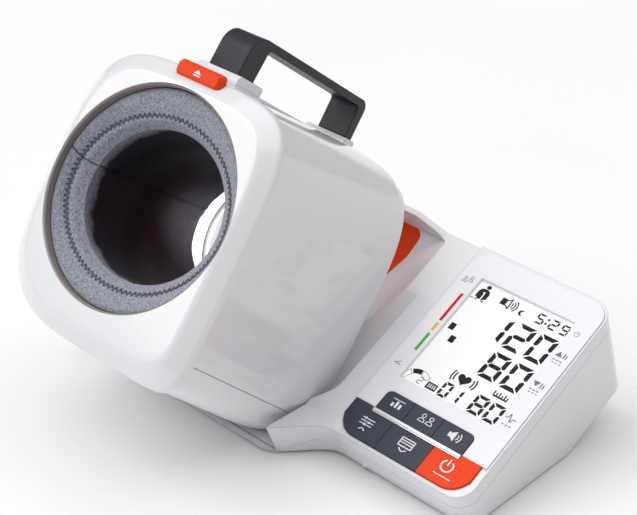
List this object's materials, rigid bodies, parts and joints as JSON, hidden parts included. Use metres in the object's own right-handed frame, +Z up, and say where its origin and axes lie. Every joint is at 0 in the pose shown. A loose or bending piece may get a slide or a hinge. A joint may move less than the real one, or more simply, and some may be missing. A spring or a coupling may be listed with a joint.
{
  "type": "upper arm blood pressure monitor",
  "caption": "Tabletop upper arm blood pressure monitor: arm cuff drum tilted over an elbow rest, sloped display panel with keys, carry handle and fold latch.",
  "frame": {"origin": "centre of the bounding box, on the table under the rubber feet", "axes": "+Z up, -Y towards the user, +X towards the display unit; the cuff drum is on the -X side"},
  "size_m": [0.3586, 0.342, 0.2854],
  "materials": {
    "white_shell": "smooth gloss, cool white",
    "slate_key": "satin gloss, dark slate",
    "orange_trim": "satin gloss, orange",
    "charcoal_handle": "satin grain, charcoal",
    "silver_ledge": "bright satin",
    "lcd_glass": "clear, smooth",
    "lcd_panel": "matte, pale",
    "circuit_board": "satin",
    "key_rubber": "matte",
    "inner_plastic": "matte",
    "black_plastic": "matte",
    "recess_trim": "matte, warm grey",
    "steel": "plain",
    "rubber": "matte",
    "bladder_rubber": "matte",
    "liner_cloth": "smooth stretch cloth, near black",
    "ring_cloth": "heather knit, grey",
    "cell_sleeve": "printed sleeve"
  },
  "bodies": {
    "base": {"base_lower_shell": "white_shell", "base_upper_shell": "white_shell", "battery_cells": "cell_sleeve", "battery_springs": "steel", "dc_inlet": "black_plastic", "rubber_feet": "rubber", "case_screws": "steel", "elbow_mark": "orange_trim", "face_plate": "white_shell", "key_ledge": "silver_ledge", "lcd_window": "lcd_glass", "lcd_module": "lcd_panel", "main_board": "circuit_board", "key_mat": "key_rubber", "pressure_sensor": "inner_plastic", "speaker": "black_plastic", "pump_motor": "steel", "pump_head": "black_plastic", "bleed_valve": "steel", "air_hose": "rubber", "hinge_pins": "steel", "latch_keeper": "steel"},
    "drum": {"drum_frame": "white_shell", "drum_shell": "white_shell", "drum_cradle": "white_shell", "rear_cover": "white_shell", "pad_retainer": "recess_trim", "cuff_barrel": "inner_plastic", "cuff_bladder": "bladder_rubber", "cuff_liner": "liner_cloth", "cuff_ring_pad": "ring_cloth", "handle_base": "white_shell", "carry_handle": "charcoal_handle", "handle_screws": "steel", "button_springs": "steel", "latch_pin": "steel", "drum_hose": "rubber"},
    "release": {"open_button": "orange_trim", "push_rod": "steel"},
    "latch": {"latch_hook": "steel"},
    "battery_door": {"battery_door": "white_shell"},
    "set_key": {"set_key": "slate_key"},
    "memory_key": {"memory_key": "slate_key"},
    "power_key": {"power_key": "orange_trim"},
    "average_key": {"average_key": "slate_key"},
    "user_key": {"user_key": "slate_key"},
    "voice_key": {"voice_key": "slate_key"}
  },
  "joints": [
    {"name": "drum_fold", "type": "hinge", "parent": "base", "child": "drum", "pos_m": [-0.0671, -0.0362, 0.017], "axis": [-1, 0, 0], "range_deg": [0, 16]},
    {"name": "open_button_press", "type": "slide", "parent": "drum", "child": "release", "axis": [0, 0.831, -0.5563], "range_m": [0, 0.002], "stiffness_N_per_m": 900, "springref_m": -0.001},
    {"name": "latch_swing", "type": "hinge", "parent": "drum", "child": "latch", "pos_m": [-0.0671, 0.05845, 0.17093], "axis": [1, 0, 0], "range_deg": [-14, 0]},
    {"name": "battery_door_slide", "type": "slide", "parent": "base", "child": "battery_door", "axis": [0, 0.8886, 0.4587], "range_m": [0, 0.06]},
    {"name": "set_key_press", "type": "slide", "parent": "base", "child": "set_key", "axis": [0, 0.4587, -0.8886], "range_m": [0, 0.0007], "stiffness_N_per_m": 900, "springref_m": -0.0006},
    {"name": "memory_key_press", "type": "slide", "parent": "base", "child": "memory_key", "axis": [0, 0.4587, -0.8886], "range_m": [0, 0.0007], "stiffness_N_per_m": 900, "springref_m": -0.0006},
    {"name": "power_key_press", "type": "slide", "parent": "base", "child": "power_key", "axis": [0, 0.4587, -0.8886], "range_m": [0, 0.0007], "stiffness_N_per_m": 900, "springref_m": -0.0006},
    {"name": "average_key_press", "type": "slide", "parent": "base", "child": "average_key", "axis": [0, 0.4587, -0.8886], "range_m": [0, 0.0007], "stiffness_N_per_m": 900, "springref_m": -0.0006},
    {"name": "user_key_press", "type": "slide", "parent": "base", "child": "user_key", "axis": [0, 0.4587, -0.8886], "range_m": [0, 0.0007], "stiffness_N_per_m": 900, "springref_m": -0.0006},
    {"name": "voice_key_press", "type": "slide", "parent": "base", "child": "voice_key", "axis": [0, 0.4587, -0.8886], "range_m": [0, 0.0007], "stiffness_N_per_m": 900, "springref_m": -0.0006}
  ],
  "couplings": [
    {"joint": "latch_swing", "follows": "open_button_press", "rad_per_m": -117.6}
  ]
}
